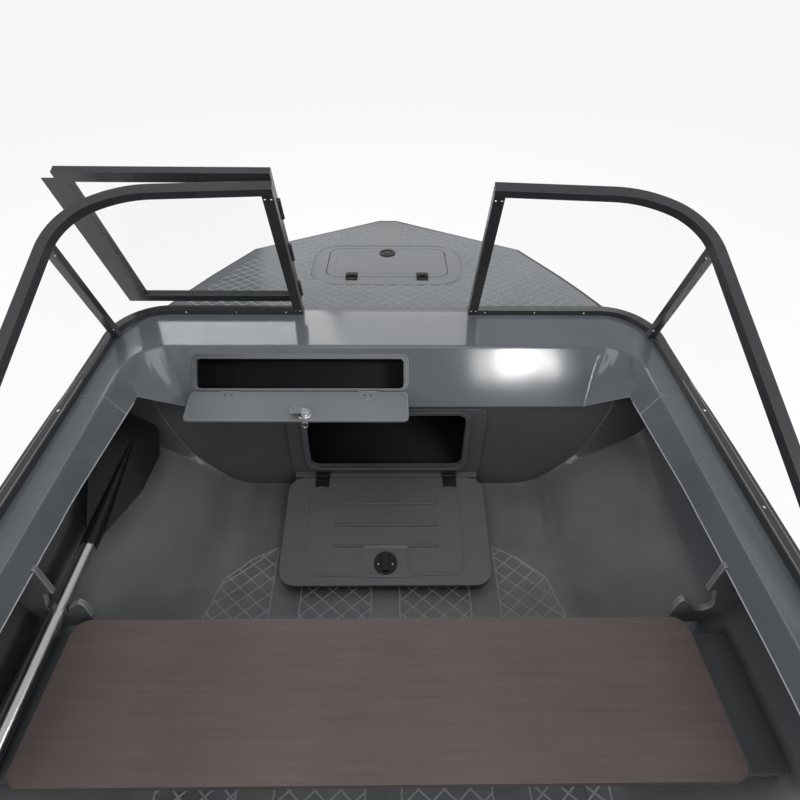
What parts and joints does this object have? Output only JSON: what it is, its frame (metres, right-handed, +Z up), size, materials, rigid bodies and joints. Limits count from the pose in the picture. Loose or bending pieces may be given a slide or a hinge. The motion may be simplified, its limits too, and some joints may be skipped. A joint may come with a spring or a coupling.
{
  "type": "plastic boat",
  "caption": "Small open plastic motor boat with a decked bow, hinged foredeck hatch, walk-through windscreen with a folding door, slanted dash with glovebox, plank seat and a stowed oar.",
  "frame": {"origin": "centre of the bounding box's footprint, on the floor the hull runners stand on", "axes": "+Y towards the bow, +X to starboard, +Z up"},
  "size_m": [1.644, 3.949, 1.1739],
  "materials": {
    "black_fittings": "matt black",
    "deck_plastic": "moulded polyethylene with diamond tread",
    "glovebox_plastic": "smooth moulded plastic",
    "hinge_steel": "brushed",
    "hull_plastic": "moulded polyethylene, slightly shiny",
    "liner_plastic": "moulded polyethylene, slightly shiny",
    "lock_chrome": "polished",
    "oar_aluminium": "bare drawn tube",
    "oar_plastic": "black, satin",
    "rub_rail_rubber": "black extruded rail",
    "screen_frame": "dark satin coating",
    "screen_pane": "clear sheet",
    "seat_plywood": "film-faced plywood, brown, satin",
    "socket_metal": "brushed"
  },
  "bodies": {
    "boat": {"aft_deck": "deck_plastic", "bow_bulkhead": "liner_plastic", "bow_eye": "socket_metal", "cowl": "deck_plastic", "foredeck": "deck_plastic", "foredeck_hatch_frame": "deck_plastic", "foredeck_hatch_hinge_leaves": "black_fittings", "glovebox_bin": "glovebox_plastic", "glovebox_hinges": "hinge_steel", "hull_bottom": "hull_plastic", "hull_bow": "hull_plastic", "hull_quarters": "hull_plastic", "hull_shoulder_port": "hull_plastic", "hull_shoulder_starboard": "hull_plastic", "hull_side_port": "hull_plastic", "hull_side_starboard": "hull_plastic", "hull_stem": "hull_plastic", "hull_stern": "hull_plastic", "locker_box": "liner_plastic", "locker_hinge_leaves": "black_fittings", "oar_blade": "oar_plastic", "oar_grip": "oar_plastic", "oar_hook_aft_port": "liner_plastic", "oar_hook_aft_starboard": "liner_plastic", "oar_hook_forward_port": "liner_plastic", "oar_hook_forward_starboard": "liner_plastic", "oar_shaft": "oar_aluminium", "rowlock_socket_port": "socket_metal", "rowlock_socket_starboard": "socket_metal", "rub_rail": "rub_rail_rubber", "screen_base_rail_port": "screen_frame", "screen_base_rail_starboard": "screen_frame", "screen_front_pane_port": "screen_pane", "screen_front_pane_starboard": "screen_pane", "screen_post_port": "screen_frame", "screen_post_starboard": "screen_frame", "screen_side_pane_port": "screen_pane", "screen_side_pane_starboard": "screen_pane", "screen_strut_port": "screen_frame", "screen_strut_starboard": "screen_frame", "screen_top_rail_port": "screen_frame", "screen_top_rail_starboard": "screen_frame", "seat_bearer_port": "liner_plastic", "seat_bearer_starboard": "liner_plastic", "seat_plank": "seat_plywood", "side_deck_port": "deck_plastic", "side_deck_starboard": "deck_plastic", "stern_bench": "liner_plastic", "windscreen_door_hinge_posts": "screen_frame"},
    "windscreen_door": {"windscreen_door_frame": "screen_frame", "windscreen_door_hinges": "screen_frame", "windscreen_door_pane": "screen_pane"},
    "foredeck_hatch": {"foredeck_hatch_hinges": "black_fittings", "foredeck_hatch_latch": "black_fittings", "foredeck_hatch_lid": "deck_plastic"},
    "locker_hatch": {"locker_hinges": "black_fittings", "locker_latch": "black_fittings", "locker_lid": "liner_plastic"},
    "glovebox_door": {"glovebox_flap": "glovebox_plastic", "glovebox_lock": "lock_chrome"}
  },
  "joints": [
    {"name": "windscreen_door_hinge", "type": "hinge", "parent": "boat", "child": "windscreen_door", "pos_m": [-0.25, 1.07002, 0.71275], "axis": [0, 0.3898, -0.9209], "range_deg": [0, 180]},
    {"name": "foredeck_hatch_hinge", "type": "hinge", "parent": "boat", "child": "foredeck_hatch", "pos_m": [0, 1.41081, 0.63603], "axis": [1, 0, 0], "range_deg": [0, 100]},
    {"name": "locker_hatch_hinge", "type": "hinge", "parent": "boat", "child": "locker_hatch", "pos_m": [0, 0.76281, 0.2768], "axis": [-1, 0, 0], "range_deg": [0, 80]},
    {"name": "glovebox_hinge", "type": "hinge", "parent": "boat", "child": "glovebox_door", "pos_m": [-0.2465, 0.80121, 0.59427], "axis": [-1, 0, 0], "range_deg": [0, 140]}
  ]
}
